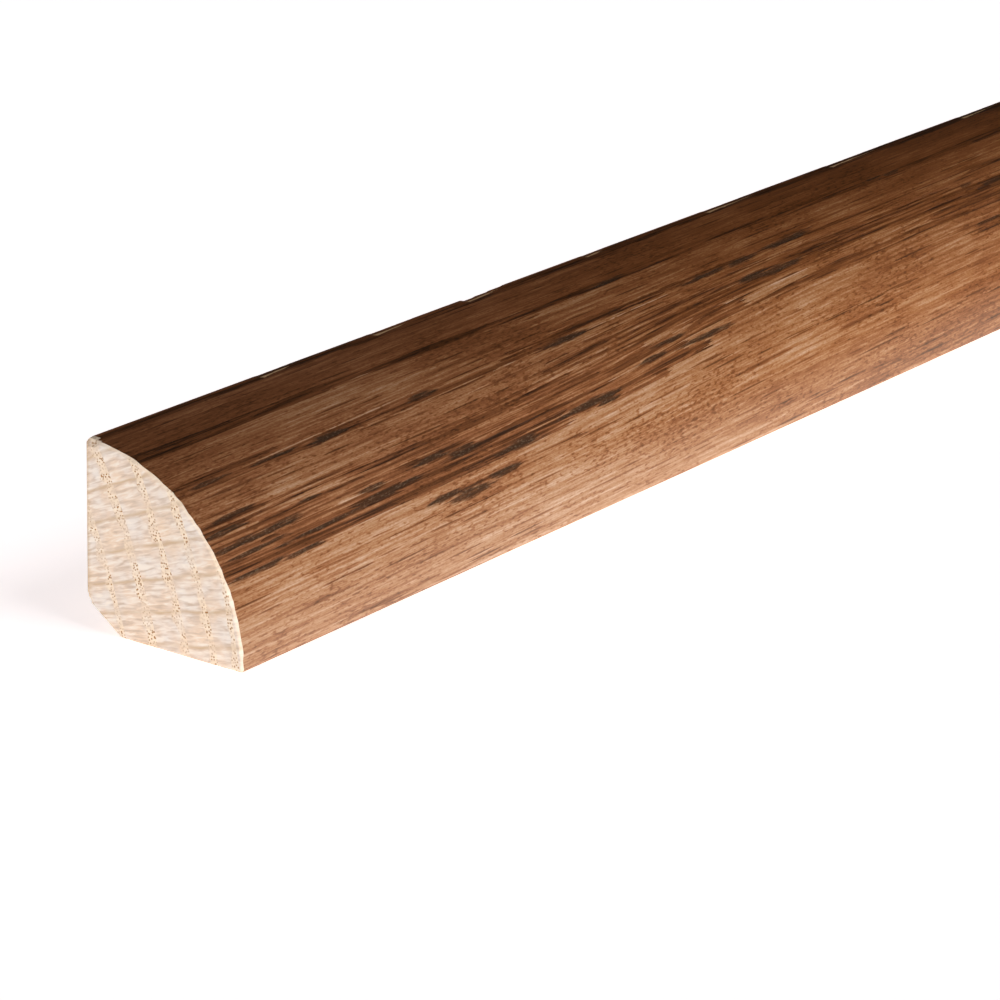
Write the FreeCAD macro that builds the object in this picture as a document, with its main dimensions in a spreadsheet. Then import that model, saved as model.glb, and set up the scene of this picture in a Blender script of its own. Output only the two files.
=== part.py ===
import FreeCAD, Part
import math
import os

import Sketcher

# Quarter round moulding: one strip of oak, run through a moulder to a quarter circle section.
# It lies as it is fitted: base face down on the floor, back face upright against the wall base.
# X runs from the back to the show face, Y along the strip, Z up. The origin is the middle of the
# section's box on the floor, half way along the strip. All sizes are in millimetres.

SIZES = [
    ("strip_length", 1981.2, "length of the strip, as sold: 78 in"),
    ("leg", 19.05, "width of the base and height of the back, and radius of the round: 3/4 in"),
    ("relief_base", 4.0, "how far the relieved inner corner reaches along the base"),
    ("relief_back", 3.0, "how far the relieved inner corner reaches up the back"),
    ("relief_round", 1.5, "radius that blends the relief into the base and the back"),
    ("arris_round", 0.4, "radius of the two eased arrises, at the top of the back and the front of the base"),
]

doc = FreeCAD.newDocument("QuarterRound")


def make_sheet():
    """The driving dimensions, one named cell each."""
    sheet = doc.addObject("Spreadsheet::Sheet", "Sizes")
    for row, (alias, value, meaning) in enumerate(SIZES, start=1):
        sheet.set(f"A{row}", meaning)
        sheet.set(f"B{row}", str(value))
        sheet.setAlias(f"B{row}", alias)
    doc.recompute()
    return sheet


def origin_plane(body, role):
    return next(feature for feature in body.Origin.OriginFeatures if feature.Role == role)


def draw_section(body, sizes):
    """The moulder's section: base, round, back and the relief between the back and the base."""
    leg = sizes.leg
    back = -leg / 2
    foot = FreeCAD.Vector(back + sizes.relief_base, 0, 0)
    toe = FreeCAD.Vector(leg / 2, 0, 0)
    crown = FreeCAD.Vector(back, leg, 0)
    heel = FreeCAD.Vector(back, sizes.relief_back, 0)
    inner_corner = FreeCAD.Vector(back, 0, 0)
    up = FreeCAD.Vector(0, 0, 1)

    sketch = body.newObject("Sketcher::SketchObject", "Section")
    sketch.AttachmentSupport = (origin_plane(body, "XZ_Plane"), [""])
    sketch.MapMode = "FlatFace"
    base_line = sketch.addGeometry(Part.LineSegment(foot, toe))
    round_arc = sketch.addGeometry(Part.ArcOfCircle(Part.Circle(inner_corner, up, leg), 0, math.pi / 2))
    back_line = sketch.addGeometry(Part.LineSegment(crown, heel))
    relief_line = sketch.addGeometry(Part.LineSegment(heel, foot))

    start, end, centre, x_axis, root_point = 1, 2, 3, -1, (-1, 1)
    for first, second in (
        (base_line, round_arc),
        (round_arc, back_line),
        (back_line, relief_line),
        (relief_line, base_line),
    ):
        sketch.addConstraint(Sketcher.Constraint("Coincident", first, end, second, start))
    sketch.addConstraint(Sketcher.Constraint("Horizontal", base_line))
    sketch.addConstraint(Sketcher.Constraint("PointOnObject", base_line, start, x_axis))
    sketch.addConstraint(Sketcher.Constraint("Vertical", back_line))
    sketch.addConstraint(Sketcher.Constraint("PointOnObject", round_arc, centre, x_axis))
    sketch.addConstraint(Sketcher.Constraint("PointOnObject", round_arc, centre, back_line))

    for name, constraint, size in (
        ("round_radius", Sketcher.Constraint("Radius", round_arc, leg), "Sizes.leg"),
        (
            "half_width",
            Sketcher.Constraint("DistanceX", round_arc, centre, *root_point, leg / 2),
            "Sizes.leg / 2",
        ),
        (
            "relief_base",
            Sketcher.Constraint("DistanceX", round_arc, centre, base_line, start, sizes.relief_base),
            "Sizes.relief_base",
        ),
        (
            "relief_back",
            Sketcher.Constraint("DistanceY", round_arc, centre, back_line, end, sizes.relief_back),
            "Sizes.relief_back",
        ),
    ):
        sketch.renameConstraint(sketch.addConstraint(constraint), name)
        sketch.setExpression(f"Constraints.{name}", size)
    doc.recompute()
    return sketch


def run_strip(body, sketch):
    """The section run along the whole strip, half of it each way from the origin."""
    strip = body.newObject("PartDesign::Pad", "Strip")
    strip.Profile = sketch
    strip.SideType = "Symmetric"
    strip.setExpression("Length", "Sizes.strip_length")
    doc.recompute()
    return strip


def long_edges(shape, places):
    """Names of the edges that run the whole strip through the given (x, z) places of its section."""
    names = []
    for number, edge in enumerate(shape.Edges, start=1):
        middle = edge.BoundBox.Center
        along_strip = edge.BoundBox.YLength > shape.BoundBox.YLength / 2
        if along_strip and any(abs(middle.x - x) + abs(middle.z - z) < 1e-6 for x, z in places):
            names.append(f"Edge{number}")
    return names


def round_edges(body, name, before, places, size):
    """A radius along the strip's edges at those places of the section."""
    rounded = body.newObject("PartDesign::Fillet", name)
    rounded.Base = (before, long_edges(before.Shape, places))
    rounded.setExpression("Radius", size)
    doc.recompute()
    return rounded


def make_quarter_round(sizes):
    """The whole moulding: the run section, its relief blended in and its two arrises eased."""
    body = doc.addObject("PartDesign::Body", "QuarterRoundBody")
    body.Label = "quarter_round"
    strip = run_strip(body, draw_section(body, sizes))
    back = -sizes.leg / 2
    relief_corners = [(back, sizes.relief_back), (back + sizes.relief_base, 0)]
    arrises = [(back, sizes.leg), (sizes.leg / 2, 0)]
    blended = round_edges(body, "ReliefBlend", strip, relief_corners, "Sizes.relief_round")
    body.Tip = round_edges(body, "EasedArrises", blended, arrises, "Sizes.arris_round")
    doc.recompute()
    return body


def check(parts):
    """Stops before anything is written if a feature failed or a solid isn't sound."""
    failed = [item.Name for item in doc.Objects if {"Invalid", "Error"} & set(item.State)]
    if failed:
        raise RuntimeError(f"failed features: {failed}")
    for part in parts:
        if part.Shape.isNull() or not part.Shape.isValid() or len(part.Shape.Solids) != 1:
            raise RuntimeError(f"{part.Label} is not one sound solid")


def write(parts):
    os.makedirs("parts", exist_ok=True)
    for part in parts:
        part.Shape.exportStep(f"parts/{part.Label}.step")
        box = part.Shape.BoundBox
        print(
            f"{part.Label}: {box.XLength:.2f} x {box.YLength:.2f} x {box.ZLength:.2f} mm, "
            f"{part.Shape.Volume:.0f} mm3, {len(part.Shape.Faces)} faces"
        )


sheet = make_sheet()
parts = [make_quarter_round(sheet)]
check(parts)
write(parts)
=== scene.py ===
import math
import random

import bmesh
import bpy
from mathutils import Matrix, Vector


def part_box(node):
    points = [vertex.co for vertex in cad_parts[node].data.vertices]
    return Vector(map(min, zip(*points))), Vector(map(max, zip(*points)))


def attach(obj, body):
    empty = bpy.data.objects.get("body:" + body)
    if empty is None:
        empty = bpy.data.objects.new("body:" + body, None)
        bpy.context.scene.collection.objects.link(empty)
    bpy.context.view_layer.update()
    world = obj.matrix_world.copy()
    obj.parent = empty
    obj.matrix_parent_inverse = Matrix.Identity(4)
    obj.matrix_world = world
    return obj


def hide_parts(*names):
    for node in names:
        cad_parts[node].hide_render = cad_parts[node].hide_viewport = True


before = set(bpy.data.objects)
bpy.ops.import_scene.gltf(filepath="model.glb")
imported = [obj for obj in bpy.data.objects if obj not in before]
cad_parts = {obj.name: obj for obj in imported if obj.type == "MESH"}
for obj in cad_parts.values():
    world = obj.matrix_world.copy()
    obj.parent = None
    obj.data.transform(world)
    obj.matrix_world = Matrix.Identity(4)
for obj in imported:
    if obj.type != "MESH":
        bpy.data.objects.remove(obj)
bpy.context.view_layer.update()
mm = 0.001
tiny = 1e-6                      # m; closer than this counts as the same place

# the strip as packed: x from the back to the show face, y along it, z up from the floor
low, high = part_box("quarter_round")
leg = -2 * low.x                 # the section's middle is at x 0; its eased edges stop short of the full leg
length = high.y - low.y
print("frame: leg %.2f mm, length %.1f mm" % (leg / mm, length / mm))


# camera, at the place the picture was taken from

cameraSet = {
    "lens": 148.56,                                # mm: a close long-lens view
    "sensor": 36.0,                                # mm wide
    "place": (236.32, -1263.70, 141.06),           # mm
    "lookAt": (9.5, -950.5, 6.1),                  # mm, a point on the show face near the end
    "roll": 0.92,                                  # degrees
}


def addCamera():
    lens = bpy.data.cameras.new("pictureCamera")
    lens.lens = cameraSet["lens"]
    lens.sensor_width = cameraSet["sensor"]
    camera = bpy.data.objects.new("pictureCamera", lens)
    bpy.context.collection.objects.link(camera)
    place = Vector(cameraSet["place"]) * mm
    aim = Vector(cameraSet["lookAt"]) * mm - place
    turn = aim.to_track_quat("-Z", "Y").to_matrix()
    camera.location = place
    camera.rotation_euler = (turn @ Matrix.Rotation(math.radians(cameraSet["roll"]), 3, "Z")).to_euler()
    bpy.context.scene.camera = camera


addCamera()
bpy.context.scene.view_settings.view_transform = "Standard"
print("camera: %.1f mm lens" % cameraSet["lens"])


# colours and nodes

smooth = {"interpolation_type": "SMOOTHSTEP"}    # lets a Map Range ease in and out


def hexColour(code):
    def toLinear(c):
        return c / 12.92 if c <= 0.04045 else ((c + 0.055) / 1.055) ** 2.4
    return tuple(toLinear(int(code[i:i + 2], 16) / 255) for i in (1, 3, 5)) + (1.0,)


def addNode(tree, kind, inputs=(), out=0, **settings):
    # one node with its settings and links: inputs are numbers, colours or sockets, and it gives one output or
    # the node; a Math node's kind also names its operation, and a Map Range takes its value, from and to
    kind, space, operation = kind.partition(" ")
    node = tree.nodes.new(kind if kind.startswith("NodeGroup") else "ShaderNode" + kind)
    if operation:
        node.operation = operation
    for name, value in settings.items():
        setattr(node, name, value)
    for name, value in (inputs.items() if isinstance(inputs, dict) else enumerate(inputs)):
        if isinstance(value, bpy.types.NodeSocket):
            tree.links.new(value, node.inputs[name])
        else:
            node.inputs[name].default_value = value
    return node if out is None or not node.outputs else node.outputs[out]


def newMaterial(name):
    material = bpy.data.materials.new(name)
    material.use_nodes = True
    material.node_tree.nodes.clear()
    return material


def fillRamp(ramp, stops):
    # stops are (place, hex colour), from dark to light
    bar = ramp.color_ramp
    while len(bar.elements) < len(stops):
        bar.elements.new(1.0)
    for element, (place, code) in zip(bar.elements, stops):
        element.position = place
        element.color = hexColour(code)


# oak figure: one field of rings, vessels and rays in the solid, which every cut face of the strip shows, and
# painted highlights beside the vessels

oakSet = {
    "pith": (-68.5, -15.0),      # mm, x and z of the tree's heart
    "ringWidth": 3.405,          # mm of growth in a year
    "firstRing": 66.0,           # mm from the heart to the first ring edge in the strip
    "middle": 72.0,              # mm from the heart where the way round it is measured
    "lastRing": 4.3,             # rings; the outermost one is wide and has no edge in the strip
    "wetYears": (0.5, 69.4, 3.25),       # mm: how far, from where and how fast ring widths vary
    "swell": (21.5, 14.0, 0.45),         # mm round the heart where rings begin to swell, where most, how far
    "swellRings": (76.5, 79.0),          # mm from the heart where rings begin to do so, and where they all do
    "sweep": (72.0, 270.0, 730.0, 1.2),  # mm from the near end, two wave lengths, how far one pulls the other
    "sweepTurn": 23.0,           # degrees that the outer ring edges climb the show face and fall again
    "sweepTop": (47.0, 66.0),    # degrees up the show face where they climb most, and where none does
    "fibreShare": 0.22,          # how much of that climb the fibres follow
    "wander": (60.0, 130.0, 1.6),        # mm across, along and deep: slow waviness, away from the near end
    "wanderFrom": (160.0, 420.0),        # mm from the near end where it begins, and where it is full
    "wobble": (3.0, 26.0, 0.22),         # mm across, along and deep: how far a fibre strays from straight
    "fibreSlope": 0.02,          # mm sideways for each mm along
    "fray": 0.45,                # how far the ends of bundles are drawn out, in shares of a bundle
    "tilt": 0.5,                 # how far a bundle evens out the ring across its own width
    "step": (0.9, 0.02),         # how near its middle a bundle takes its ring, and rings off by chance
    "broadYear": 3.0,            # the ring whose early wood is broad
    "early": (0.76, 0.36, 0.12), # where in a ring early wood begins, the same in the broad one, how softly
    "earlyWeight": (1.05, 2.2),  # how strong it is, and how much it deepens towards the edge of the broad one
    "toEdge": (0.1, 0.5),        # share of clots where early wood begins, and at the ring edge
    # mm across and mm along the grain
    "bundle": (0.9, 20.0),       # groups of fibres that break a ring edge into steps
    "vessel": (0.34, 18.0),      # open vessels, as lines
    "pore": (0.30, 5.0),         # the same, cut across
    "clot": (0.60, 6.0),         # vessels so close that the stain runs them together
    "crowd": (2.2, 14.0),        # where vessels come in crowds
    "glint": (0.45, 18.0),       # painted highlights: thin bright lines of sheen beside open vessels
    "dash": (0.40, 10.0),        # rays cut along, as thin dashes
    "line": (0.26, 26.0),        # long thin fibres
    "fibre": (0.17, 3.6),        # short fine fibres
    "streak": (0.48, 34.0),      # broader streaks
    "blotch": (5.0, 16.0),       # patches that take stain otherwise
    "fleck": (0.22, 0.9),        # short flecks
    "grit": (0.14, 0.4),         # the finest grain
    "bead": (0.20, 2.6),         # unevenness within a clot
    # noise, from 0 to 1, where each begins and is full
    "crowding": (0.38, 0.62),
    "lineTones": (0.34, 0.66),   # the darkest and the lightest long fibre
    "earlyLight": 0.45,          # share of a light one that is left in early wood
    "fleckTones": (0.58, 0.76),
    "fleckMore": (0.62, 0.38, -0.06, 0.08),  # a light and a dark blotch, and what they add to that noise
    "poreEdge": (0.42, 0.20),    # cells from the middle of a pore
}

# lines along the grain, broken into spindles: half their width, and the share of their length that is pointed
spindleSet = {
    "vessel": (0.70, 0.35),
    "clot": (0.75, 0.30),
    "glint": (0.26, 0.30),
    "dash": (0.32, 0.50),
    "tip": 0.02,                 # half the width at the points
    "core": 0.35,                # share of the width that is full
    "faint": 0.45,               # strength of the faintest
    "often": (0.35, 0.75, 0.03), # share of vessels in early wood, in its crowds, and more anywhere
    "glints": 0.20,              # share of glints in early wood
    "dashes": 0.62,              # share of dashes
    "uneven": (2.4, 0.8),        # how patchy a vessel is, and how ragged the edge of a clot
}

# the listed marks near the end: mm from the near end, mm down the show face, length, width
markSet = {
    "clots": ((4.5, 21.2, 8.5, 0.50), (11.5, 21.15, 6.5, 0.45), (2.8, 16.7, 6.0, 0.50),
              (6.5, 18.2, 14.0, 0.55), (5.0, 15.4, 6.0, 0.35), (15.2, 16.8, 3.0, 0.35),
              (5.6, 19.3, 9.0, 0.40), (17.0, 19.7, 16.0, 0.35), (25.5, 19.1, 9.5, 0.55),
              (24.0, 18.2, 4.0, 0.50), (33.6, 17.8, 6.0, 0.55), (38.8, 18.2, 4.2, 0.80),
              (47.0, 19.8, 7.0, 0.90), (33.0, 21.8, 5.0, 0.65), (37.6, 22.35, 7.0, 0.95),
              (43.0, 21.7, 5.0, 0.70), (60.0, 18.8, 11.0, 0.75), (63.2, 19.1, 3.5, 0.80),
              (73.0, 16.9, 5.0, 0.50), (77.5, 15.8, 6.0, 0.50), (83.5, 16.8, 10.0, 0.50),
              (5.0, 11.6, 5.0, 0.50), (15.0, 11.6, 7.0, 0.35), (22.5, 11.75, 5.5, 0.65),
              (38.5, 11.25, 4.5, 0.65), (63.0, 11.3, 8.0, 0.65), (90.0, 10.3, 8.0, 0.45),
              (97.5, 10.2, 5.5, 0.60), (107.0, 9.8, 9.0, 0.70), (97.0, 12.6, 5.0, 0.80),
              (102.5, 12.8, 8.0, 0.70), (77.0, 6.3, 5.0, 0.50)),
    # painted highlights: thin bright lines of sheen beside open vessels
    "glintMarks": ((67.0, 14.8, 10.0, 0.16), (87.0, 14.4, 14.0, 0.18), (102.5, 14.2, 9.0, 0.10),
              (74.5, 11.0, 17.0, 0.17), (71.0, 6.6, 6.0, 0.16), (20.0, 11.15, 40.0, 0.16),
              (47.0, 11.75, 25.0, 0.15), (36.5, 6.3, 9.0, 0.16)),
    # how ragged the edge is, and where it begins and is full, in half widths
    "clotEdge": (1.8, 1.4, 0.65),
    "glintMarkEdge": (0.6, 1.2, 0.8),
    "halo": (2.2, 0.9),          # where the darker wood round a clot begins and is full
    "lean": 0.03,                # mm that they rise for each mm along
    "random": 118.0,             # mm from the near end where clots begin to fall by chance
}

figureParts = ("ring", "stepped", "early", "vessel", "clot", "halo", "bead", "glint", "dash", "line",
               "earlyLine", "fibre", "streak", "blotch", "fleck", "grit", "pore", "crowd", "outward",
               "around", "fromBack", "fromBase", "spoke", "along")


def turnAlong(tree, along, start, wave, slowWave=None, pull=1.0):
    # the turn of a wave along the strip, which a slower wave may pull to and fro
    reach = addNode(tree, "Math ADD", [along, -start])
    turn = addNode(tree, "Math MULTIPLY", [reach, math.tau / wave])
    if slowWave:
        slow = addNode(tree, "Math MULTIPLY", [reach, math.tau / slowWave])
        slow = addNode(tree, "Math SINE", [slow])
        turn = addNode(tree, "Math MULTIPLY_ADD", [slow, pull, turn])
    return turn


def makeOakFigure():
    s = oakSet
    tree = bpy.data.node_groups.new("oakFigure", "ShaderNodeTree")
    for name in figureParts:
        tree.interface.new_socket(name=name, in_out="OUTPUT", socket_type="NodeSocketFloat")

    # place in mm, from the inner corner of the section and from the near end
    place = addNode(tree, "TexCoord", out="Object")
    place = addNode(tree, "VectorMath SCALE", {0: place, "Scale": 1 / mm})
    apart = addNode(tree, "SeparateXYZ", [place], out=None)
    along = addNode(tree, "Math ADD", [apart.outputs["Y"], -low.y / mm])
    fromBack = addNode(tree, "Math ADD", [apart.outputs["X"], -low.x / mm])
    fromBase = addNode(tree, "Math ADD", [apart.outputs["Z"], -low.z / mm])
    spoke = addNode(tree, "CombineXYZ", [fromBack, 0.0, fromBase])
    spoke = addNode(tree, "VectorMath LENGTH", [spoke], out="Value")
    climb = addNode(tree, "Math ARCTAN2", [fromBase, fromBack])

    # along the strip the outer rings climb the show face and fall again, which draws the long pointed arches
    top, gone = (math.radians(angle) for angle in s["sweepTop"])
    rise = addNode(tree, "MapRange", [climb, 0.0, top, 0.0, math.radians(s["sweepTurn"])])
    fall = addNode(tree, "MapRange", [climb, gone, top], **smooth)
    most = addNode(tree, "Math MULTIPLY", [rise, fall])

    def swingAt(along):
        turn = addNode(tree, "Math SINE", [turnAlong(tree, along, *s["sweep"])])
        crest = 0.97             # just short of the wave's own height, so that its tops are flat
        sweep = addNode(tree, "MapRange", [turn, -crest, crest], **smooth)
        return addNode(tree, "Math MULTIPLY", [most, sweep])

    # distance out from the heart and round it, with a share of that climb
    def fromHeart(swing, share):
        angle = addNode(tree, "Math MULTIPLY_ADD", [swing, -share, climb])
        dx = addNode(tree, "Math COSINE", [angle])
        dz = addNode(tree, "Math SINE", [angle])
        dx = addNode(tree, "Math MULTIPLY_ADD", [dx, spoke, low.x / mm - s["pith"][0]])
        dz = addNode(tree, "Math MULTIPLY_ADD", [dz, spoke, low.z / mm - s["pith"][1]])
        flat = addNode(tree, "CombineXYZ", [dx, 0.0, dz])
        out = addNode(tree, "VectorMath LENGTH", [flat], out="Value")
        turn = addNode(tree, "Math ARCTAN2", [dz, dx])
        return out, addNode(tree, "Math MULTIPLY", [turn, s["middle"]])

    # fibres lean a little across the strip and stray a little from straight
    fibreOut, fibreRound = fromHeart(swingAt(along), s["fibreShare"])
    wide, far, deep = s["wobble"]
    slow = addNode(tree, "VectorMath MULTIPLY", [place, (1 / wide, 1 / far, 1 / wide)])
    wobble = addNode(tree, "TexNoise", {"Vector": slow, "Scale": 1.0, "Detail": 1.0}, out="Color")
    wobble = addNode(tree, "VectorMath ADD", [wobble, (-0.5, -0.5, -0.5)])
    across = addNode(tree, "Math MULTIPLY_ADD", [along, -s["fibreSlope"], fibreRound])
    grain = addNode(tree, "CombineXYZ", [fibreOut, across, along])
    grain = addNode(tree, "VectorMath MULTIPLY_ADD", [wobble, (deep, deep, 0), grain])

    def cells(which):
        # the grain's place counted in cells of this part
        size = (s[which][0],) + s[which]
        return addNode(tree, "VectorMath MULTIPLY", [grain, tuple(1 / x for x in size)])

    # plain noises along the grain: how many finer layers, and how strong those are
    noise = {}
    for name, detail, finer in (("line", 3.0, 0.6), ("fibre", 2.0, 0.6), ("streak", 2.0, 0.5),
                                ("blotch", 2.0, 0.5), ("crowd", 2.0, 0.5), ("bead", 2.0, 0.5),
                                ("fleck", 1.0, 0.5), ("grit", 1.0, 0.5)):
        noise[name] = addNode(tree, "TexNoise", {"Vector": cells(name), "Scale": 1.0, "Detail": detail,
                                                 "Roughness": finer})
    bead = addNode(tree, "Math ADD", [noise["bead"], -0.5])
    fray = addNode(tree, "Math ADD", [noise["line"], -0.5])
    fray = addNode(tree, "Math MULTIPLY", [fray, s["fray"]])
    fray = addNode(tree, "CombineXYZ", [0.0, 0.0, fray])

    def stretches(which, drawn=False):
        # lines side by side along the grain, each broken into stretches: how far off the nearest line is, how
        # far along its stretch, the stretch's own chances, and the way across to the line
        here = cells(which)
        if drawn:
            here = addNode(tree, "VectorMath ADD", [here, fray])
        cell = addNode(tree, "TexVoronoi", {"Vector": here, "Scale": 1.0}, out=None, voronoi_dimensions="2D")
        cell = cell.outputs
        own = addNode(tree, "SeparateColor", [cell["Color"]], out=None).outputs
        steps = addNode(tree, "SeparateXYZ", [here], out="Z")
        rate = addNode(tree, "Math MULTIPLY_ADD", [own["Blue"], 0.9, 0.6])      # each line's own length
        steps = addNode(tree, "Math MULTIPLY", [steps, rate])
        steps = addNode(tree, "Math MULTIPLY_ADD", [own["Green"], 37.0, steps])  # and its own start
        share = addNode(tree, "Math FRACT", [steps])
        steps = addNode(tree, "Math FLOOR", [steps])
        name = addNode(tree, "Math MULTIPLY", [own["Red"], 997.0])               # tells lines apart
        name = addNode(tree, "CombineXYZ", [name, steps, 0.0])
        chance = addNode(tree, "TexWhiteNoise", {"Vector": name}, out="Color", noise_dimensions="2D")
        chance = addNode(tree, "SeparateColor", [chance], out=None).outputs
        away = addNode(tree, "VectorMath SUBTRACT", [here, cell["Position"]])
        away = addNode(tree, "SeparateXYZ", [away], out="X")
        return cell["Distance"], share, chance, away

    def spindles(which, often, ragged=0.0):
        # stretches drawn as spindles, where their chance is under often
        width, pointed = spindleSet[which]
        distance, share, chance, away = stretches(which)
        if ragged:
            distance = addNode(tree, "Math MULTIPLY_ADD", [bead, ragged, distance])
        ends = addNode(tree, "Math PINGPONG", [share, 0.5])
        ends = addNode(tree, "MapRange", [ends, 0.0, pointed, spindleSet["tip"], width], **smooth)
        core = addNode(tree, "Math MULTIPLY", [ends, spindleSet["core"]])
        body = addNode(tree, "MapRange", [distance, ends, core], **smooth)
        there = addNode(tree, "Math LESS_THAN", [chance["Red"], often])
        dark = addNode(tree, "MapRange", [chance["Green"], 0.0, 1.0, spindleSet["faint"], 1.0])
        body = addNode(tree, "Math MULTIPLY", [body, there])
        return addNode(tree, "Math MULTIPLY", [body, dark])

    # ring number, whole at each ring edge
    wide, far, deep = s["wander"]
    begin, full = s["wanderFrom"]
    slow = addNode(tree, "VectorMath MULTIPLY", [place, (1 / wide, 1 / far, 1 / wide)])
    wander = addNode(tree, "TexNoise", {"Vector": slow, "Scale": 1.0, "Detail": 2.0})
    wander = addNode(tree, "Math ADD", [wander, -0.5])
    deep = addNode(tree, "MapRange", [along, begin, full, 0.0, deep], **smooth)

    def ringAt(along):
        outward, around = fromHeart(swingAt(along), 1.0)
        outward = addNode(tree, "Math MULTIPLY_ADD", [wander, deep, outward])
        begin, full, most = s["swell"]
        swell = addNode(tree, "MapRange", [around, begin, full, 0.0, most], **smooth)
        begin, full = s["swellRings"]
        outer = addNode(tree, "MapRange", [outward, begin, full], **smooth)
        outward = addNode(tree, "Math MULTIPLY_ADD", [swell, outer, outward])
        depth, wetFrom, wetRate = s["wetYears"]
        wet = addNode(tree, "Math ADD", [outward, -wetFrom])
        wet = addNode(tree, "Math MULTIPLY", [wet, 1 / wetRate])
        wet = addNode(tree, "Math SINE", [wet])
        ring = addNode(tree, "Math MULTIPLY_ADD", [wet, -depth, outward])
        ring = addNode(tree, "Math ADD", [ring, -s["firstRing"]])
        ring = addNode(tree, "Math MULTIPLY", [ring, 1 / s["ringWidth"]])
        return addNode(tree, "Math MINIMUM", [ring, s["lastRing"]])

    ring = ringAt(along)

    # bundles of fibres break the ring edge into steps: each stretch takes the ring near its own middle
    distance, share, chance, away = stretches("bundle", True)
    wide, far = s["bundle"]
    toMiddle, offBy = s["step"]
    back = addNode(tree, "Math ADD", [share, -0.5])
    middle = addNode(tree, "Math MULTIPLY_ADD", [back, -toMiddle * far, along])
    stepped = ringAt(middle)
    stepped = addNode(tree, "Math MULTIPLY_ADD", [away, -s["tilt"] * wide / s["ringWidth"], stepped])
    shift = addNode(tree, "Math ADD", [chance["Red"], -0.5])
    stepped = addNode(tree, "Math MULTIPLY_ADD", [shift, offBy, stepped])
    phase = addNode(tree, "Math FRACT", [stepped])
    year = addNode(tree, "Math FLOOR", [stepped])

    # early wood, just inside each ring edge; the last one is broad
    begin, broadBegin, setIn = s["early"]
    weight, deepening = s["earlyWeight"]
    broad = [year, s["broadYear"] - 1, s["broadYear"]]
    begins = addNode(tree, "MapRange", broad + [begin, broadBegin])
    full = addNode(tree, "Math ADD", [begins, setIn])
    early = addNode(tree, "MapRange", [phase, begins, full], **smooth)
    near = addNode(tree, "MapRange", [phase, begins, 1.0, *s["toEdge"]])
    deepens = addNode(tree, "Math MULTIPLY", [near, deepening])
    weight = addNode(tree, "MapRange", broad + [weight, deepens])
    earlyTone = addNode(tree, "Math MULTIPLY", [early, weight])

    # vessels: long open pores as thin lines, and clots where the stain runs several together
    least, crowded, anywhere = spindleSet["often"]
    patchy, ragged = spindleSet["uneven"]
    thick = addNode(tree, "MapRange", [noise["crowd"], *s["crowding"]])
    often = addNode(tree, "MapRange", [thick, 0.0, 1.0, least, crowded])
    often = addNode(tree, "Math MULTIPLY", [early, often])
    often = addNode(tree, "Math ADD", [often, anywhere])
    vessel = spindles("vessel", often)
    uneven = addNode(tree, "Math MULTIPLY_ADD", [bead, patchy, 1.0])
    vessel = addNode(tree, "Math MULTIPLY", [vessel, uneven])
    often = addNode(tree, "Math MULTIPLY", [near, thick])
    often = addNode(tree, "Math MULTIPLY", [often, early])
    past = addNode(tree, "Math GREATER_THAN", [along, markSet["random"]])
    often = addNode(tree, "Math MULTIPLY", [often, past])
    clot = spindles("clot", often, ragged)

    # the marks near the end, as spindles with uneven edges
    down = addNode(tree, "Math MULTIPLY_ADD", [climb, -leg / mm, math.pi / 2 * leg / mm])
    down = addNode(tree, "Math MULTIPLY_ADD", [along, markSet["lean"], down])
    here = addNode(tree, "CombineXYZ", [along, down, 0.0])

    def marks(rows, edge):
        # the drawn marks, and how far off the nearest is in half widths
        ragged, begin, full = edge
        nearest = 9.0
        for far, depth, long, wide in rows:
            size = (2 / long, 2 / wide, 0)
            start = (-2 * far / long, -2 * (depth + markSet["lean"] * far) / wide, 0)
            off = addNode(tree, "VectorMath MULTIPLY_ADD", [here, size, start])
            off = addNode(tree, "VectorMath LENGTH", [off], out="Value")
            nearest = addNode(tree, "Math MINIMUM", [nearest, off])
        nearest = addNode(tree, "Math MULTIPLY_ADD", [bead, ragged, nearest])
        return addNode(tree, "MapRange", [nearest, begin, full], **smooth), nearest

    drawn, nearest = marks(markSet["clots"], markSet["clotEdge"])
    clot = addNode(tree, "Math MAXIMUM", [clot, drawn])
    begin, full = markSet["halo"]
    halo = addNode(tree, "MapRange", [nearest, begin, full], **smooth)

    # painted highlights as thin bright lines of sheen beside open vessels, and rays cut along as thin dashes
    often = addNode(tree, "Math MULTIPLY", [early, spindleSet["glints"]])
    glint = spindles("glint", often)
    drawn, nearest = marks(markSet["glintMarks"], markSet["glintMarkEdge"])
    glint = addNode(tree, "Math MAXIMUM", [glint, drawn])
    dash = spindles("dash", spindleSet["dashes"])

    # long fibres, which part more darkly in early wood
    line = addNode(tree, "MapRange", [noise["line"], *s["lineTones"], -0.5, 0.5])
    earlyLine = addNode(tree, "Math MULTIPLY", [line, s["earlyLight"]])
    earlyLine = addNode(tree, "Math MINIMUM", [earlyLine, line])
    earlyLine = addNode(tree, "Math MULTIPLY", [earlyLine, early])

    # flecks, more of them in the darker patches
    often = addNode(tree, "MapRange", [noise["blotch"], *s["fleckMore"]])
    fleck = addNode(tree, "Math ADD", [noise["fleck"], often])
    fleck = addNode(tree, "MapRange", [fleck, *s["fleckTones"]])

    # vessels cut across: small round pores
    pore = addNode(tree, "TexVoronoi", {"Vector": cells("pore"), "Scale": 1.0}, out="Distance",
                   voronoi_dimensions="2D")
    pore = addNode(tree, "MapRange", [pore, *s["poreEdge"]], **smooth)

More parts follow.
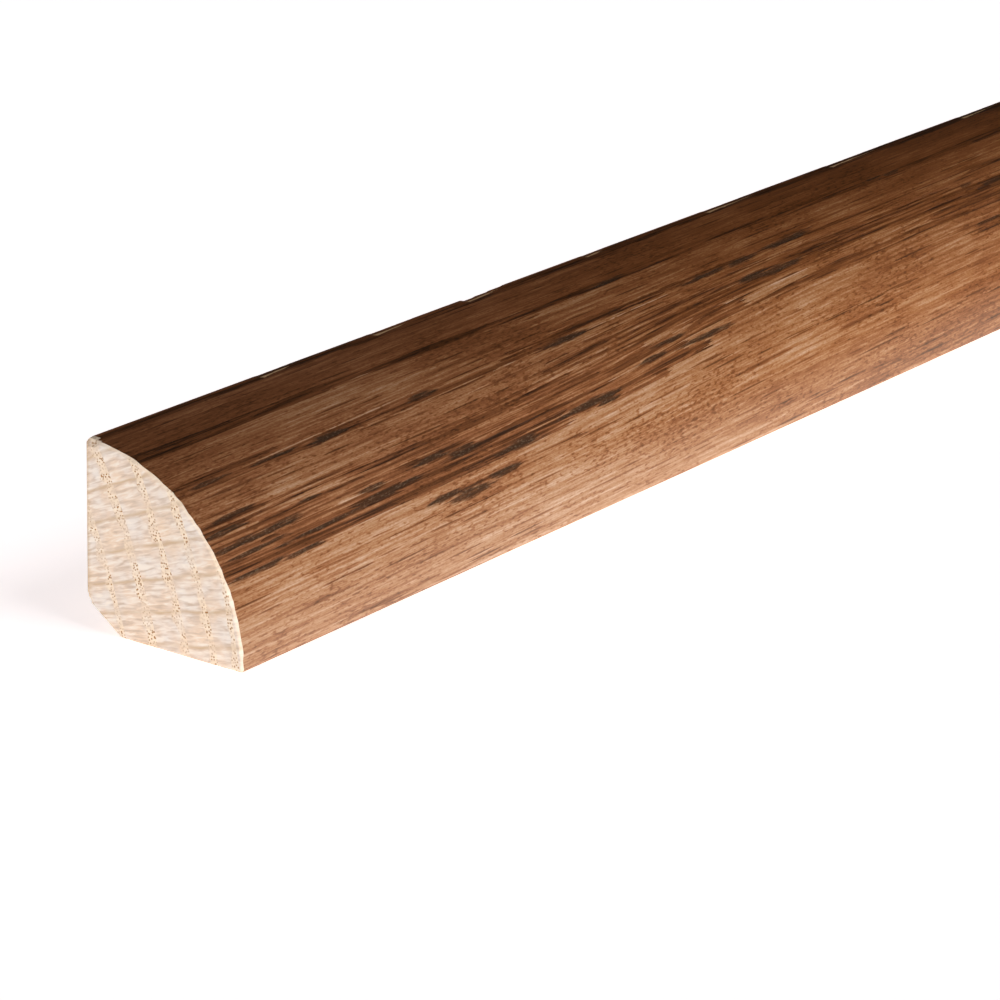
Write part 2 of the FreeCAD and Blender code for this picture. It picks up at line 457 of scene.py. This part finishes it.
    clotBead = addNode(tree, "Math MULTIPLY", [bead, clot])
    made = {**noise, "ring": ring, "stepped": stepped, "early": earlyTone, "vessel": vessel, "clot": clot,
            "halo": halo, "bead": clotBead, "glint": glint, "dash": dash, "line": line,
            "earlyLine": earlyLine, "fleck": fleck, "pore": pore, "outward": fibreOut, "around": fibreRound,
            "fromBack": fromBack, "fromBase": fromBase, "spoke": spoke, "along": along}
    addNode(tree, "NodeGroupOutput", [made[name] for name in figureParts], out=None)
    return tree


oakFigure = makeOakFigure()
print("oak figure: %d nodes" % len(oakFigure.nodes))


def startOak(name):
    material = newMaterial(name)
    tree = material.node_tree
    figure = addNode(tree, "Group", out=None, node_tree=oakFigure)
    return material, tree, figure.outputs


def addParts(tree, oak, tone, parts):
    # a tone with each part of the figure added at its weight; middle is the value that changes nothing
    for part, weight, middle in parts:
        centred = addNode(tree, "Math ADD", [oak[part], -middle])
        tone = addNode(tree, "Math MULTIPLY_ADD", [centred, weight, tone])
    return tone


def layColours(tree, colour, layers):
    # each layer is how much of it shows and its hex colour, laid over what is there
    for share, code in layers:
        colour = addNode(tree, "Mix", {"Factor": share, 6: colour, 7: hexColour(code)}, out=2,
                         data_type="RGBA")
    return colour


# stained oak under satin varnish: brown stain sinks into vessels and early wood, the varnish gives a soft low
# sheen that fills the fine fibres but leaves the vessels open

stainSet = {
    "tones": ((0.0, "#361d09"), (0.25, "#562f10"), (0.5, "#824d29"), (0.6, "#975e38"), (0.68, "#ab744a"),
              (0.76, "#bb8b64"), (0.84, "#c99f80"), (1.0, "#e0c2a8")),
    "ground": 0.60,              # tone of the plain wood, 0 dark to 1 light
    "heartAndShade": (2.4, 0.19),        # ring inside which the wood darkens, and how much it has by the first ring; as these inner rings lie at the top of the show face, this is partly the wood's own tone and partly painted shade on the top
    "outer": (4.0, 0.01, 0.05),  # number of the wide last ring, how softly it starts, how much lighter it is
    "lighterBelow": (11.0, 0.04),        # mm above the base where the tone begins to lighten, and how much lighter it gets
    "drift": (36.0, 320.0, 0.05),            # mm where a slow change is lightest, its wave length, how much
    "patches": (60.0, 200.0, 530.0, 0.022),  # the same in the last ring, with two wave lengths
    "drying": (30.0, 100.0, 0.975, 1.025),   # mm from the near end, where and how far the colour deepens
    "paleBelow": (6.5, 0.12),        # mm above the base where a paler colour begins to be laid over, and how much
    "paleBelowColour": "#e9d2be",
    "bare": (0.8, 0.75, 0.45),   # mm from the back where bare wood starts and ends, how much on in a nick
    "bareEdge": 0.5,             # mm that its edges stray
    "bareShare": 0.85,
    "raw": "#dfb78c",            # bare wood where the finish is chipped off
    # part of the figure, weight in the tone, value that changes nothing
    # the glint part is a painted highlight
    "parts": (("early", -0.13, 0.0), ("line", 0.15, 0.0), ("earlyLine", 0.38, 0.0), ("fibre", 0.38, 0.5),
              ("streak", 0.28, 0.5), ("blotch", 0.25, 0.5), ("vessel", -0.27, 0.0), ("clot", -0.08, 0.0),
              ("halo", -0.03, 0.0), ("bead", 0.5, 0.0), ("glint", 0.19, 0.0), ("fleck", -0.20, 0.0),
              ("grit", 0.18, 0.5), ("dash", -0.36, 0.0)),
    "clot": "#3f2814",           # stain that has pooled in a clot
    "strands": 1.6,              # how much of it the fibres let show
    "sheenSpeck": "#b3957a",          # painted highlights: pale specks of sheen on the varnish in it
    "sheenSpecks": (0.54, 0.70, 0.16),  # grit where a speck begins and is full, and how strong it is
    "roughness": (0.46, 0.25),   # of the varnish, and how much more in an open vessel
    "relief": 0.05,              # mm that a vessel lies below the varnish
    "heights": (0.25, -0.8, 1.5),  # in that relief: fibres, open vessels and the beads in a clot
}


def makeStainedOak():
    s = stainSet
    material, tree, oak = startOak("stainedSatinOak")
    ring, edge, lighter = s["outer"]
    outer = addNode(tree, "MapRange", [oak["stepped"], ring - edge, ring + edge])
    tone = addNode(tree, "Math MULTIPLY_ADD", [outer, lighter, s["ground"]])
    # the inner rings at the top of the show face darker, partly their own tone and partly painted shade; and
    # lighter towards the base
    year = addNode(tree, "Math FLOOR", [oak["stepped"]])
    for value, name, sign in ((year, "heartAndShade", -1), (oak["fromBase"], "lighterBelow", 1)):
        start, change = s[name]
        change = addNode(tree, "MapRange", [value, start, 0.0, 0.0, sign * change])
        tone = addNode(tree, "Math ADD", [tone, change])
    *waves, depth = s["drift"]
    drift = addNode(tree, "Math COSINE", [turnAlong(tree, oak["along"], *waves)])
    tone = addNode(tree, "Math MULTIPLY_ADD", [drift, depth, tone])
    *waves, depth = s["patches"]
    patch = addNode(tree, "Math COSINE", [turnAlong(tree, oak["along"], *waves)])
    patch = addNode(tree, "Math MULTIPLY", [patch, outer])
    tone = addNode(tree, "Math MULTIPLY_ADD", [patch, depth, tone])
    tone = addParts(tree, oak, tone, s["parts"])
    ramp = addNode(tree, "ValToRGB", [tone], out=None)
    fillRamp(ramp, s["tones"])

    # stain pooled in the clots, broken up by fibres and by painted highlights, pale specks of sheen
    pooled = addNode(tree, "Math MULTIPLY", [oak["fibre"], s["strands"]])
    pooled = addNode(tree, "Math MULTIPLY", [oak["clot"], pooled], use_clamp=True)
    begin, full, most = s["sheenSpecks"]
    sheenSpeck = addNode(tree, "MapRange", [oak["grit"], begin, full, 0.0, most])
    sheenSpeck = addNode(tree, "Math MULTIPLY", [sheenSpeck, oak["clot"]])
    colour = layColours(tree, ramp.outputs[0], ((pooled, s["clot"]), (sheenSpeck, s["sheenSpeck"])))

    # the sawn end has dried the wood a little, so the colour deepens away from it
    start, end, dry, deep = s["drying"]
    full = addNode(tree, "MapRange", [oak["along"], start, end, dry, deep])
    colour = addNode(tree, "HueSaturation", {"Saturation": full, "Color": colour})

    # paler towards the base, and raw wood shows in bare strips that run out along the nicks below the arris
    start, most = s["paleBelow"]
    paleBelow = addNode(tree, "MapRange", [oak["fromBase"], start, 0.0, 0.0, most])
    wear = addNode(tree, "Attribute", out="Fac", attribute_name="wear")
    start, end, further = s["bare"]
    ragged = addNode(tree, "Math ADD", [oak["fibre"], -0.5])
    place = addNode(tree, "Math MULTIPLY_ADD", [ragged, s["bareEdge"], oak["fromBack"]])
    reach = addNode(tree, "Math MULTIPLY_ADD", [wear, further, end])
    past = addNode(tree, "Math LESS_THAN", [place, reach])
    begun = addNode(tree, "Math GREATER_THAN", [place, start])
    bare = addNode(tree, "Math MULTIPLY", [past, begun])
    bare = addNode(tree, "Math MULTIPLY", [bare, s["bareShare"]])
    colour = layColours(tree, colour, ((paleBelow, s["paleBelowColour"]), (bare, s["raw"])))

    opened = addNode(tree, "Math MAXIMUM", [oak["vessel"], oak["clot"]])
    smoothest, more = s["roughness"]
    rough = addNode(tree, "Math MULTIPLY_ADD", [opened, more, smoothest])
    height = 1.0
    for part, share in zip((oak["fibre"], opened, oak["bead"]), s["heights"]):
        height = addNode(tree, "Math MULTIPLY_ADD", [part, share, height])
    bump = addNode(tree, "Bump", {"Height": height, "Distance": s["relief"] * mm, "Strength": 1.0})
    shader = addNode(tree, "BsdfPrincipled", {"Base Color": colour, "Roughness": rough, "Normal": bump,
                                              "IOR": 1.45, "Specular IOR Level": 0.2})
    addNode(tree, "OutputMaterial", [shader])
    return material


# raw oak end grain, sawn: pale and matt, rows of small open vessels, broad tan rays from the heart outwards,
# fine waves where the saw bent the fibres over

endSet = {
    "late": "#e5cebc",
    "light": "#f3e5d8",
    "shade": "#ccb3a0",
    "tan": "#cbac8c",
    "cool": "#e9dfd8",
    "warm": "#ecceb2",
    "cream": "#f8e2c8",
    "vessel": "#a87645",
    "lean": 0.03,                # mm that the rays lean for each mm outwards
    "wave": (1.9, 0.38),         # mm along and across the wavy lines that run out from the heart
    "band": (3.25, 0.6, 0.095),  # mm from one broad ray to the next, where they fall, and half its share
    "bandCore": 0.15,            # share of it that is full
    "bandWave": (0.6, 0.35),     # mm that they stray from straight, and how often in each mm
    "patch": 3.0,                # mm across a paler or warmer patch
    "stray": 0.55,               # how far a crowd of vessels strays from its row, in rings
    "row": (0.70, 0.80),         # where in a ring the vessels begin, and where they are all there
    "halo": 0.65,                # how far the wood between them is cream
    "soiled": (0.70, 0.25, 0.6), # mm from the back where it begins to be tan, where most, how much
    "soiledEdge": 1.2,           # mm that this strays
    "rim": (0.32, 0.12, 0.5),    # mm inside the show face where it begins to be bright, where most, how much
    "relief": 0.04,              # mm
    # noise from and to, and how much shows from and to
    "shadeAt": (0.50, 0.30, 0.0, 0.9),
    "lightAt": (0.50, 0.68, 0.0, 0.9),
    "bandAt": (0.35, 0.55, 0.35, 0.75),
    "coolAt": (0.48, 0.64, 0.0, 0.75),
    "warmAt": (0.50, 0.34, 0.0, 0.65),
    "vesselAt": (0.42, 0.54, 0.2, 1.0),
    "clumpAt": (0.42, 0.54, 0.45, 1.0),
}


def makeSawnEnd():
    s = endSet
    material, tree, oak = startOak("rawOakSawnEnd")
    lean = addNode(tree, "Math MULTIPLY_ADD", [oak["outward"], s["lean"], oak["around"]])
    fan = addNode(tree, "CombineXYZ", [oak["outward"], lean, 0.0])
    lines = addNode(tree, "VectorMath MULTIPLY", [fan, (1 / s["wave"][0], 1 / s["wave"][1], 1)])
    wave = addNode(tree, "TexNoise", {"Vector": lines, "Scale": 1.0, "Detail": 2.0, "Roughness": 0.5,
                                      "Distortion": 0.5})
    dark = addNode(tree, "MapRange", [wave, *s["shadeAt"]])
    light = addNode(tree, "MapRange", [wave, *s["lightAt"]])

    # broad rays, evenly spaced and a little wavy, fainter in places
    stray, rate = s["bandWave"]
    slow = addNode(tree, "TexNoise", {"Vector": fan, "Scale": rate, "Detail": 2.0})
    gap, first, half = s["band"]
    ray = addNode(tree, "Math MULTIPLY_ADD", [slow, stray, lean])
    ray = addNode(tree, "Math MULTIPLY", [ray, 1 / gap])
    ray = addNode(tree, "Math ADD", [ray, -first - stray / 2 / gap])
    ray = addNode(tree, "Math PINGPONG", [ray, 0.5])
    band = addNode(tree, "MapRange", [ray, half, half * s["bandCore"]])
    faint = addNode(tree, "MapRange", [slow, *s["bandAt"]])
    band = addNode(tree, "Math MULTIPLY", [band, faint])

    # patches that dried paler and cooler, or took up more oil
    patch = addNode(tree, "TexNoise", {"Vector": fan, "Scale": 1 / s["patch"], "Detail": 3.0})
    cool = addNode(tree, "MapRange", [patch, *s["coolAt"]])
    warm = addNode(tree, "MapRange", [patch, *s["warmAt"]])

    # narrow rows of small vessels, in crowds with gaps between them
    phase = addNode(tree, "Math FRACT", [oak["ring"]])
    strayed = addNode(tree, "Math ADD", [oak["crowd"], -0.5])
    strayed = addNode(tree, "Math MULTIPLY_ADD", [strayed, s["stray"], phase])
    begin, full = s["row"]
    row = addNode(tree, "MapRange", [strayed, begin, full], **smooth)
    often = addNode(tree, "MapRange", [wave, *s["vesselAt"]])
    clump = addNode(tree, "MapRange", [slow, *s["clumpAt"]])
    often = addNode(tree, "Math MULTIPLY", [often, clump])
    pore = addNode(tree, "Math MULTIPLY", [oak["pore"], row])
    pore = addNode(tree, "Math MULTIPLY", [pore, often])
    halo = addNode(tree, "Math MULTIPLY", [row, s["halo"]])
    halo = addNode(tree, "Math MULTIPLY", [halo, clump])

    # soiled along the back, bright along the show face
    ragged = addNode(tree, "Math ADD", [wave, -0.5])
    back = addNode(tree, "Math MULTIPLY_ADD", [ragged, s["soiledEdge"], oak["fromBack"]])
    begin, full, most = s["soiled"]
    back = addNode(tree, "MapRange", [back, begin, full, 0.0, most])
    begin, full, most = s["rim"]
    rim = addNode(tree, "MapRange", [oak["spoke"], leg / mm - begin, leg / mm - full, 0.0, most])

    layers = ((cool, "cool"), (warm, "warm"), (dark, "shade"), (light, "light"), (band, "tan"), (back, "tan"),
              (halo, "cream"), (pore, "vessel"), (rim, "cream"))
    colour = layColours(tree, hexColour(s["late"]), [(share, s[name]) for share, name in layers])
    height = addNode(tree, "Math MULTIPLY_ADD", [pore, -1.0, wave])
    bump = addNode(tree, "Bump", {"Height": height, "Distance": s["relief"] * mm, "Strength": 0.6})
    shader = addNode(tree, "BsdfPrincipled", {"Base Color": colour, "Roughness": 0.85, "Normal": bump,
                                              "IOR": 1.45, "Specular IOR Level": 0.2})
    addNode(tree, "OutputMaterial", [shader])
    return material


# raw oak, planed: the back and base, which are never seen once fitted, are left without stain; pale, dry and
# matt, with the vessels as fine darker lines and faint marks across from the planer's knives

planedSet = {
    "tones": ((0.0, "#7d5b3b"), (0.35, "#b08a62"), (0.65, "#d3b28a"), (0.85, "#dfc3a0"), (1.0, "#ead6ba")),
    "ground": 0.70,
    "parts": (("early", -0.06, 0.0), ("line", 0.35, 0.0), ("earlyLine", 0.45, 0.0), ("fibre", 0.25, 0.5),
              ("streak", 0.35, 0.5), ("blotch", 0.30, 0.5), ("vessel", -0.40, 0.0), ("clot", -0.15, 0.0),
              ("fleck", -0.08, 0.0), ("grit", 0.25, 0.5), ("dash", -0.10, 0.0)),
    "knife": 1.8,                # mm from one cut of the planer to the next
    "knifeMark": (0.012, 0.12),  # how far a cut shows in the tone and in the relief
    "roughness": (0.68, -0.2),   # of the wood, and how much less on a light fibre
    "relief": 0.05,              # mm
}


def makePlanedOak():
    s = planedSet
    material, tree, oak = startOak("rawOakPlaned")
    inTone, inRelief = s["knifeMark"]
    cut = addNode(tree, "Math MULTIPLY", [oak["along"], math.tau / s["knife"]])
    cut = addNode(tree, "Math SINE", [cut])
    tone = addNode(tree, "Math MULTIPLY_ADD", [cut, inTone, s["ground"]])
    tone = addParts(tree, oak, tone, s["parts"])
    ramp = addNode(tree, "ValToRGB", [tone], out=None)
    fillRamp(ramp, s["tones"])
    dry, onFibre = s["roughness"]
    rough = addNode(tree, "Math MULTIPLY_ADD", [oak["line"], onFibre, dry])
    height = addNode(tree, "Math MULTIPLY_ADD", [cut, inRelief, oak["fibre"]])
    height = addNode(tree, "Math MULTIPLY_ADD", [oak["vessel"], -1.0, height])
    bump = addNode(tree, "Bump", {"Height": height, "Distance": s["relief"] * mm, "Strength": 1.0})
    shader = addNode(tree, "BsdfPrincipled", {"Base Color": ramp.outputs[0], "Roughness": rough,
                                              "Normal": bump, "IOR": 1.45, "Specular IOR Level": 0.3})
    addNode(tree, "OutputMaterial", [shader])
    return material


# the strip

stripSet = {
    "relief": (4.0, 3.0),        # mm cut off the base and off the back at the inner corner
    "reliefRound": 1.5,          # mm
    "arris": 0.4,                # mm, easing of the two sharp edges
    "roundSegments": 48,
    "arrisSegments": 4,
    "reliefSegments": 5,
    "zones": ((176.0, 0.5), (length / mm - 8.0, 2.4), (length / mm, 0.5)),  # mm from the near end, mm a row
    "rowsAtOnce": 80,            # one subdivide makes up to 100 cuts
    "rim": 0.25,                 # mm, the broken edge round each sawn end
    "setBack": 0.5,              # share of the rim that its outer edge is set back by
    "ragged": (0.05, 4, 0.4),    # mm that the saw tears the rim at a time, how often, and how much of it
    "tearReach": 0.4,            # mm from the end where it tears
    "chip": ((0.3, 0.42), (0.8, 0.08)),  # mm along and mm deep, at the near end's top corner
    "chipReach": 1.3,            # mm across
    "chipIn": 0.3,               # mm in for each mm deep
    "smooth": 35,                # degrees; sharper edges stay sharp
}

nickSet = {
    # mm from the near end where a nick in the top arris starts and ends, and whether it is deep
    "seen": ((25.0, 30.0, False), (43.0, 50.0, False), (58.5, 65.5, True), (80.0, 84.0, False),
             (104.0, 115.0, False), (130.0, 142.0, False)),
    "gap": (9.0, 30.0),          # mm from one nick to the next, further along
    "run": (4.0, 13.0),          # mm
    "deep": 0.25,                # share of those that are deep
    "stop": 5.0,                 # mm from the far end where they stop
    "reach": 1.25,               # mm from the top of the back, across the arris
    "drop": 0.7,                 # mm down from the top
    "wornReach": 2.5,            # mm from the top of the back where bare wood may show
    "steps": (1.0, 0.66, 0.33),  # shares of its length, from its start, that are bitten in turn
    "bite": (0.01, 0.05),        # mm for each step of a shallow or a deep nick
    "biteIn": 0.5,               # mm in for each mm deep
    "seed": 11,
}


def placeNicks():
    draw = random.Random(nickSet["seed"])
    nicks = list(nickSet["seen"])
    start = nicks[-1][1]
    while True:
        start += draw.uniform(*nickSet["gap"])
        end = start + draw.uniform(*nickSet["run"])
        if end > length / mm - nickSet["stop"]:
            return nicks
        nicks.append((start, end, draw.random() < nickSet["deep"]))
        start = end


nicks = placeNicks()


def nearTopArris(p, reach=nickSet["reach"]):
    return p.x - low.x < reach * mm and low.z + leg - p.z < nickSet["drop"] * mm


def inNick(p, share, deep):
    # whether a place lies in the first share of a deep or a shallow nick
    if not nearTopArris(p):
        return False
    y = (p.y - low.y) / mm
    return any(start <= y <= start + (end - start) * share and deep == isDeep for start, end, isDeep in nicks)


def inChip(p, along):
    return p.y - low.y < along * mm and nearTopArris(p, stripSet["chipReach"])


def pick(mode, test):
    # selects what passes a test of its place, in the mesh that is being edited
    bpy.ops.mesh.select_mode(type=mode)
    bpy.ops.mesh.select_all(action="DESELECT")
    mesh = bmesh.from_edit_mesh(bpy.context.edit_object.data)
    parts = {"VERT": mesh.verts, "EDGE": mesh.edges, "FACE": mesh.faces}[mode]
    chosen = [part for part in parts if test(part)]
    for part in chosen:
        part.select_set(True)
    bmesh.update_edit_mesh(bpy.context.edit_object.data)


def longEdgeAt(x, z):
    # test for the edges along the strip that run through this place in the section
    def test(edge):
        a, b = (v.co for v in edge.verts)
        return abs(a.y - b.y) > mm and all(max(abs(p.x - x), abs(p.z - z)) < 10 * tiny for p in (a, b))
    return test


def makeStrip():
    s = stripSet
    bpy.ops.object.select_all(action="DESELECT")
    bpy.ops.mesh.primitive_cube_add(size=1, location=(0, (low.y + high.y) / 2, low.z + leg / 2),
                                    scale=(leg, length, leg))
    strip = bpy.context.object
    strip.name = "oak_strip"
    strip.data.name = "oak_strip"
    bpy.ops.object.transform_apply(location=True, rotation=True, scale=True)
    bpy.ops.object.mode_set(mode="EDIT")

    # the show face: the long front edge rounded over by the whole leg
    front, top = low.x + leg, low.z + leg
    pick("EDGE", longEdgeAt(front, top))
    bpy.ops.mesh.bevel(offset=leg, segments=s["roundSegments"], profile=0.5, affect="EDGES",
                       clamp_overlap=False)
    bpy.ops.mesh.select_all(action="SELECT")
    bpy.ops.mesh.remove_doubles(threshold=tiny)

    # the relieved inner corner
    reliefX, reliefZ = (r * mm for r in s["relief"])
    bpy.ops.mesh.select_all(action="SELECT")
    bpy.ops.mesh.bisect(plane_co=(low.x + reliefX, 0, low.z),
                        plane_no=Vector((-reliefZ, 0, -reliefX)).normalized(),
                        use_fill=True, clear_outer=True, clear_inner=False, threshold=tiny)
    lean = math.atan2(reliefZ, reliefX)
    for x, z, bend in ((low.x + reliefX, low.z, lean), (low.x, low.z + reliefZ, math.pi / 2 - lean)):
        pick("EDGE", longEdgeAt(x, z))
        bpy.ops.mesh.bevel(offset=s["reliefRound"] * mm * math.tan(bend / 2), segments=s["reliefSegments"],
                           profile=0.5, affect="EDGES")

    # the eased arrises
    for x, z in ((low.x, top), (front, low.z)):
        pick("EDGE", longEdgeAt(x, z))
        bpy.ops.mesh.bevel(offset=s["arris"] * mm, segments=s["arrisSegments"], profile=0.5, affect="EDGES")

    # rows along the strip, close together where the picture looks
    start = 0.0
    for zoneEnd, row in s["zones"]:
        pieces = math.ceil((zoneEnd - start) / row / s["rowsAtOnce"])
        step = (zoneEnd - start) / pieces
        for i in range(pieces):
            end = start + step
            bpy.ops.mesh.select_all(action="SELECT")
            bpy.ops.mesh.bisect(plane_co=(0, low.y + end * mm, 0), plane_no=(0, 1, 0), threshold=tiny)
            near, far = low.y + start * mm - 10 * tiny, low.y + end * mm + 10 * tiny
            pick("EDGE", lambda e: abs(e.verts[0].co.y - e.verts[1].co.y) > mm / 10
                 and all(near < v.co.y < far for v in e.verts))
            bpy.ops.mesh.subdivide(number_cuts=round(step / row) - 1)
            start = end

    # broken edges round the sawn ends, torn a little by the saw
    draw = random.Random(nickSet["seed"])
    tear, times, torn = s["ragged"]
    for side in (-1, 1):
        endY = low.y if side < 0 else high.y
        pick("FACE", lambda f: f.normal.y * side > 0.9)
        bpy.ops.mesh.inset(thickness=s["rim"] * mm, use_even_offset=True)
        pick("VERT", lambda v: abs(v.co.y - endY) < tiny
             and any(abs(e.other_vert(v).co.y - endY) > tiny for e in v.link_edges))
        bpy.ops.transform.translate(value=(0, -side * s["rim"] * mm * s["setBack"], 0))
        for i in range(times):
            pick("VERT", lambda v: tiny < abs(v.co.y - endY) < s["tearReach"] * mm and draw.random() < torn)
            bpy.ops.transform.translate(value=(0, -side * tear * mm, 0))

    # nicks along the top arris and a chip at its near end
    for deep, bite in ((False, nickSet["bite"][0]), (True, nickSet["bite"][1])):
        for share in nickSet["steps"]:
            pick("VERT", lambda v: inNick(v.co, share, deep))
            bpy.ops.transform.translate(value=(bite * mm * nickSet["biteIn"], 0, -bite * mm))
    for along, deep in s["chip"]:
        pick("VERT", lambda v: inChip(v.co, along))
        bpy.ops.transform.translate(value=(deep * mm * s["chipIn"], 0, -deep * mm))

    bpy.ops.mesh.select_all(action="SELECT")
    bpy.ops.mesh.normals_make_consistent(inside=False)
    bpy.ops.object.mode_set(mode="OBJECT")
    return strip


strip = makeStrip()
print("strip: %d faces, %d nicks" % (len(strip.data.polygons), len(nicks)))


def markWear():
    # how broad the bare strip in a nick is, from 1 where the nick starts to nothing where it ends
    wear = strip.data.attributes.new("wear", "FLOAT", "POINT")
    for vertex, value in zip(strip.data.vertices, wear.data):
        y = (vertex.co.y - low.y) / mm
        value.value = 0.0
        if nearTopArris(vertex.co, nickSet["wornReach"]):
            left = (1 - (y - start) / (end - start) for start, end, deep in nicks if start <= y <= end)
            value.value = max(left, default=0)


def dressStrip():
    for material in (makeStainedOak(), makeSawnEnd(), makePlanedOak()):
        strip.data.materials.append(material)
    # what looks along the strip is sawn, what looks back or down is planed, and the eased arrises are stained
    shown, sawn, planed = range(3)
    for face in strip.data.polygons:
        n = face.normal
        if abs(n.y) > 0.3 or inChip(face.center, stripSet["chip"][-1][0]):
            face.material_index = sawn
        elif n.x < -0.5 or n.z < -0.9 or (n.x < 0 and n.z < 0):
            face.material_index = planed
        else:
            face.material_index = shown
    bpy.ops.object.select_all(action="DESELECT")
    strip.select_set(True)
    bpy.context.view_layer.objects.active = strip
    bpy.ops.object.shade_smooth_by_angle(angle=math.radians(stripSet["smooth"]))


# a map for baking the finishes; the materials don't read it

bakeSet = {
    "size": 1024,                # px
    "gap": 6,                    # px between islands
    # faces, mm from the near end where a length starts and ends, px high; the near length is drawn larger
    "lengths": (("round", 0.0, 176.0, 170), ("round", 176.0, 778.0, 108), ("round", 778.0, 1380.0, 108),
                ("round", 1380.0, 1982.0, 108), ("back", 0.0, 661.0, 36), ("back", 661.0, 1322.0, 36),
                ("back", 1322.0, 1983.0, 36), ("base", 0.0, 661.0, 36), ("base", 661.0, 1322.0, 36),
                ("base", 1322.0, 1983.0, 36)),
    "end": 170,                  # px square
    "beside": 1.1,               # where the far end lies beside the near one, in ends
}


def unwrapStrip():
    # the long faces are cut into lengths that lie one above the other, with the two ends side by side on top
    s = bakeSet
    layer = strip.data.uv_layers[0]
    layer.name = "OFBake"
    size, gap = s["size"], s["gap"]
    rows, floor = [], gap
    for side, start, end, tall in s["lengths"]:
        rows.append((side, start, end, floor, tall))
        floor += tall + 2 * gap
    for face in strip.data.polygons:
        n, y = face.normal, (face.center.y - low.y) / mm
        side = "base" if n.z < -0.3 else "back" if n.x < -0.5 else "round"
        if abs(n.y) > 0.6:
            side = "end"
        for loop in face.loop_indices:
            p = strip.data.vertices[strip.data.loops[loop].vertex_index].co
            x, z = (p.x - low.x) / leg, (p.z - low.z) / leg
            if side == "end":
                u = gap + (x + (s["beside"] if n.y > 0 else 0)) * s["end"]
                v = floor + z * s["end"]
            else:
                start, end, foot, tall = next(row[1:] for row in rows
                                              if row[0] == side and row[1] <= max(y, 0) <= row[2])
                share = {"base": x, "back": z, "round": math.atan2(z, x) / (math.pi / 2)}[side]
                u = 2 * gap + ((p.y - low.y) / mm - start) / (end - start) * (size - 4 * gap)
                v = foot + share * tall
            layer.data[loop].uv = (u / size, v / size)


markWear()
dressStrip()
unwrapStrip()
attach(strip, "root")
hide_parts("quarter_round")
print("finishes: " + ", ".join(material.name for material in strip.data.materials))


# floor and light

floorSet = {
    "size": 60.0,                # m, fills the view from any side
    "drop": 0.02,                # mm under the strip
    "colour": "#f4f2f0",
    "lift": (0.785, 0.735, 0.748),  # what the eye sees on top of the floor's own light, so that it is white
}


def makeFloor():
    bpy.ops.object.select_all(action="DESELECT")
    bpy.ops.mesh.primitive_plane_add(size=floorSet["size"], location=(0, 0, low.z - floorSet["drop"] * mm))
    floor = bpy.context.object
    floor.name = "studioFloor"
    material = newMaterial("whitePaper")
    tree = material.node_tree
    path = addNode(tree, "LightPath", out=None)
    seen = path.outputs["Is Camera Ray"]
    for kind in ("Is Glossy Ray", "Is Transmission Ray"):
        seen = addNode(tree, "Math MAXIMUM", [seen, path.outputs[kind]])
    paper = addNode(tree, "BsdfDiffuse", {"Color": hexColour(floorSet["colour"])})
    glow = addNode(tree, "Emission", {"Color": floorSet["lift"] + (1.0,), "Strength": seen})
    both = addNode(tree, "AddShader", [paper, glow])
    addNode(tree, "OutputMaterial", [both])
    floor.data.materials.append(material)


lightSet = {
    # degrees: azimuth from the near end towards the show face, elevation, softness; strength, casts a shadow
    "lamps": {
        "keyLight": (92.0, 48.0, 28.0, 0.96, True),
        "showFill": (85.0, -24.0, 40.0, 2.80, False),
        "endFill": (5.0, -4.0, 40.0, 2.50, False),
        "backFill": (265.0, -10.0, 40.0, 1.25, False),
        "farFill": (180.0, -10.0, 40.0, 1.60, False),
    },
    "distance": 3.0,             # m; only to find them by, because they shine alike from any distance
    "sky": 0.03,
}


def makeLights():
    for name, (azimuth, elevation, softness, strength, shadow) in lightSet["lamps"].items():
        lamp = bpy.data.lights.new(name, "SUN")
        lamp.energy = strength
        lamp.angle = math.radians(softness)
        lamp.use_shadow = shadow
        holder = bpy.data.objects.new(name, lamp)
        bpy.context.collection.objects.link(holder)
        a, e = math.radians(azimuth), math.radians(elevation)
        towards = Vector((math.sin(a) * math.cos(e), -math.cos(a) * math.cos(e), math.sin(e)))
        holder.rotation_euler = towards.to_track_quat("Z", "Y").to_euler()
        holder.location = towards * lightSet["distance"]
    world = bpy.data.worlds.new("studio")
    world.use_nodes = True
    world.node_tree.nodes["Background"].inputs["Color"].default_value = (1, 1, 1, 1)
    world.node_tree.nodes["Background"].inputs["Strength"].default_value = lightSet["sky"]
    bpy.context.scene.world = world


makeFloor()
makeLights()
print("floor and light")
